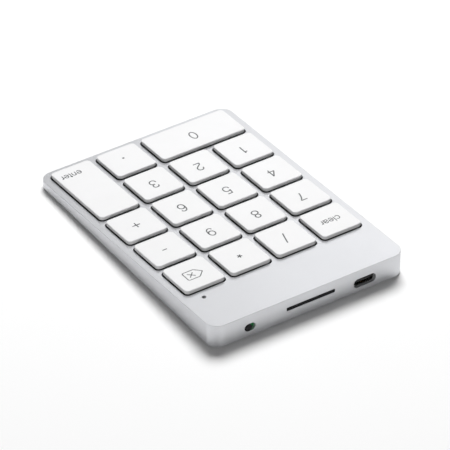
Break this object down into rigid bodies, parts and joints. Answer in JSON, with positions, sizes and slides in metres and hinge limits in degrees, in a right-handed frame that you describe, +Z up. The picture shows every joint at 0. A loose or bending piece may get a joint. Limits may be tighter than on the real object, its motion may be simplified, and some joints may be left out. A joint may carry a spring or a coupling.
{
  "type": "numeric keypad",
  "caption": "Slim wedge-shaped metal numeric keypad with low scissor keys, a USB-C socket, an antenna window and a power slider in its back edge.",
  "frame": {"origin": "on the desk, under the middle of the case", "axes": "+X to the user's right, +Y away from the user towards the edge with the socket, +Z up; the deck rises towards +Y"},
  "size_m": [0.0802, 0.1157, 0.0101],
  "materials": {
    "anodised_aluminium": "bead-blasted, clear anodised",
    "cover_plastic": "fine moulded texture, light grey",
    "foot_rubber": "moulded silicone rubber, dark grey",
    "screw_steel": "nickel plated",
    "plate_steel": "pressed sheet steel with a dark coating",
    "membrane_film": "black polyester film with printed carbon tracks",
    "dome_silicone": "translucent white silicone",
    "wire_steel": "drawn spring wire",
    "board_laminate": "solder mask over glass-epoxy laminate",
    "chip_resin": "moulded epoxy",
    "shield_tin": "tin plated",
    "antenna_ceramic": "fired ceramic",
    "connector_nylon": "moulded nylon",
    "cell_foil": "laminated aluminium pouch foil",
    "lead_insulation": "silicone insulation",
    "socket_steel": "drawn stainless steel",
    "tongue_resin": "moulded liquid-crystal polymer",
    "slider_plastic": "moulded black acetal",
    "led_resin": "clear epoxy",
    "pipe_acrylic": "dark tinted acrylic",
    "window_plastic": "moulded black plastic",
    "cap_abs": "fine matt moulded, white",
    "link_acetal": "moulded acetal"
  },
  "bodies": {
    "case": {"top_case": "anodised_aluminium", "bottom_cover": "cover_plastic", "rubber_feet": "foot_rubber", "cover_screws": "screw_steel", "inner_screws": "screw_steel", "key_plate": "plate_steel", "membrane": "membrane_film", "rubber_domes": "dome_silicone", "main_board": "board_laminate", "board_chips": "chip_resin", "radio_shield": "shield_tin", "chip_antenna": "antenna_ceramic", "ribbon_connector": "connector_nylon", "battery": "cell_foil", "battery_leads": "lead_insulation", "usb_shell": "socket_steel", "usb_tongue": "tongue_resin", "switch_body": "slider_plastic", "status_led": "led_resin", "light_pipe": "pipe_acrylic", "antenna_window": "window_plastic", "links_clear": "link_acetal", "links_divide": "link_acetal", "links_multiply": "link_acetal", "links_backspace": "link_acetal", "links_7": "link_acetal", "links_8": "link_acetal", "links_9": "link_acetal", "links_minus": "link_acetal", "links_4": "link_acetal", "links_5": "link_acetal", "links_6": "link_acetal", "links_plus": "link_acetal", "links_1": "link_acetal", "links_2": "link_acetal", "links_3": "link_acetal", "links_enter": "link_acetal", "links_0": "link_acetal", "links_decimal": "link_acetal"},
    "power_slider": {"switch_slider": "slider_plastic"},
    "zero_wire": {"zero_stabiliser": "wire_steel"},
    "enter_wire": {"enter_stabiliser": "wire_steel"},
    "key_clear": {"key_clear": "cap_abs"},
    "key_divide": {"key_divide": "cap_abs"},
    "key_multiply": {"key_multiply": "cap_abs"},
    "key_backspace": {"key_backspace": "cap_abs"},
    "key_7": {"key_7": "cap_abs"},
    "key_8": {"key_8": "cap_abs"},
    "key_9": {"key_9": "cap_abs"},
    "key_minus": {"key_minus": "cap_abs"},
    "key_4": {"key_4": "cap_abs"},
    "key_5": {"key_5": "cap_abs"},
    "key_6": {"key_6": "cap_abs"},
    "key_plus": {"key_plus": "cap_abs"},
    "key_1": {"key_1": "cap_abs"},
    "key_2": {"key_2": "cap_abs"},
    "key_3": {"key_3": "cap_abs"},
    "key_enter": {"key_enter": "cap_abs"},
    "key_0": {"key_0": "cap_abs"},
    "key_decimal": {"key_decimal": "cap_abs"}
  },
  "joints": [
    {"name": "press_clear", "type": "slide", "parent": "case", "child": "key_clear", "axis": [0, -0.0554, 0.9985], "range_m": [-0.0012, 0], "stiffness_N_per_m": 350, "springref_m": 0.0005, "deforming": ["links_clear", "rubber_domes"]},
    {"name": "press_divide", "type": "slide", "parent": "case", "child": "key_divide", "axis": [0, -0.0554, 0.9985], "range_m": [-0.0012, 0], "stiffness_N_per_m": 350, "springref_m": 0.0005, "deforming": ["links_divide", "rubber_domes"]},
    {"name": "press_multiply", "type": "slide", "parent": "case", "child": "key_multiply", "axis": [0, -0.0554, 0.9985], "range_m": [-0.0012, 0], "stiffness_N_per_m": 350, "springref_m": 0.0005, "deforming": ["links_multiply", "rubber_domes"]},
    {"name": "press_backspace", "type": "slide", "parent": "case", "child": "key_backspace", "axis": [0, -0.0554, 0.9985], "range_m": [-0.0012, 0], "stiffness_N_per_m": 350, "springref_m": 0.0005, "deforming": ["links_backspace", "rubber_domes"]},
    {"name": "press_7", "type": "slide", "parent": "case", "child": "key_7", "axis": [0, -0.0554, 0.9985], "range_m": [-0.0012, 0], "stiffness_N_per_m": 350, "springref_m": 0.0005, "deforming": ["links_7", "rubber_domes"]},
    {"name": "press_8", "type": "slide", "parent": "case", "child": "key_8", "axis": [0, -0.0554, 0.9985], "range_m": [-0.0012, 0], "stiffness_N_per_m": 350, "springref_m": 0.0005, "deforming": ["links_8", "rubber_domes"]},
    {"name": "press_9", "type": "slide", "parent": "case", "child": "key_9", "axis": [0, -0.0554, 0.9985], "range_m": [-0.0012, 0], "stiffness_N_per_m": 350, "springref_m": 0.0005, "deforming": ["links_9", "rubber_domes"]},
    {"name": "press_minus", "type": "slide", "parent": "case", "child": "key_minus", "axis": [0, -0.0554, 0.9985], "range_m": [-0.0012, 0], "stiffness_N_per_m": 350, "springref_m": 0.0005, "deforming": ["links_minus", "rubber_domes"]},
    {"name": "press_4", "type": "slide", "parent": "case", "child": "key_4", "axis": [0, -0.0554, 0.9985], "range_m": [-0.0012, 0], "stiffness_N_per_m": 350, "springref_m": 0.0005, "deforming": ["links_4", "rubber_domes"]},
    {"name": "press_5", "type": "slide", "parent": "case", "child": "key_5", "axis": [0, -0.0554, 0.9985], "range_m": [-0.0012, 0], "stiffness_N_per_m": 350, "springref_m": 0.0005, "deforming": ["links_5", "rubber_domes"]},
    {"name": "press_6", "type": "slide", "parent": "case", "child": "key_6", "axis": [0, -0.0554, 0.9985], "range_m": [-0.0012, 0], "stiffness_N_per_m": 350, "springref_m": 0.0005, "deforming": ["links_6", "rubber_domes"]},
    {"name": "press_plus", "type": "slide", "parent": "case", "child": "key_plus", "axis": [0, -0.0554, 0.9985], "range_m": [-0.0012, 0], "stiffness_N_per_m": 350, "springref_m": 0.0005, "deforming": ["links_plus", "rubber_domes"]},
    {"name": "press_1", "type": "slide", "parent": "case", "child": "key_1", "axis": [0, -0.0554, 0.9985], "range_m": [-0.0012, 0], "stiffness_N_per_m": 350, "springref_m": 0.0005, "deforming": ["links_1", "rubber_domes"]},
    {"name": "press_2", "type": "slide", "parent": "case", "child": "key_2", "axis": [0, -0.0554, 0.9985], "range_m": [-0.0012, 0], "stiffness_N_per_m": 350, "springref_m": 0.0005, "deforming": ["links_2", "rubber_domes"]},
    {"name": "press_3", "type": "slide", "parent": "case", "child": "key_3", "axis": [0, -0.0554, 0.9985], "range_m": [-0.0012, 0], "stiffness_N_per_m": 350, "springref_m": 0.0005, "deforming": ["links_3", "rubber_domes"]},
    {"name": "press_enter", "type": "slide", "parent": "case", "child": "key_enter", "axis": [0, -0.0554, 0.9985], "range_m": [-0.0012, 0], "stiffness_N_per_m": 350, "springref_m": 0.0005, "deforming": ["links_enter", "rubber_domes"]},
    {"name": "press_0", "type": "slide", "parent": "case", "child": "key_0", "axis": [0, -0.0554, 0.9985], "range_m": [-0.0012, 0], "stiffness_N_per_m": 350, "springref_m": 0.0005, "deforming": ["links_0", "rubber_domes"]},
    {"name": "press_decimal", "type": "slide", "parent": "case", "child": "key_decimal", "axis": [0, -0.0554, 0.9985], "range_m": [-0.0012, 0], "stiffness_N_per_m": 350, "springref_m": 0.0005, "deforming": ["links_decimal", "rubber_domes"]},
    {"name": "zero_wire_turn", "type": "hinge", "parent": "case", "child": "zero_wire", "pos_m": [-0.01905, -0.04605, 0.00294], "axis": [1, 0, 0], "range_deg": [-11.31, 0]},
    {"name": "enter_wire_turn", "type": "hinge", "parent": "case", "child": "enter_wire", "pos_m": [0.02917, -0.03736, 0.00343], "axis": [0, -0.9985, -0.0554], "range_deg": [-11.31, 0]},
    {"name": "power_slide", "type": "slide", "parent": "case", "child": "power_slider", "axis": [1, 0, 0], "range_m": [-0.0014, 0]}
  ],
  "couplings": [
    {"joint": "zero_wire_turn", "follows": "press_0", "rad_per_m": 164.36},
    {"joint": "enter_wire_turn", "follows": "press_enter", "rad_per_m": 164.36}
  ]
}
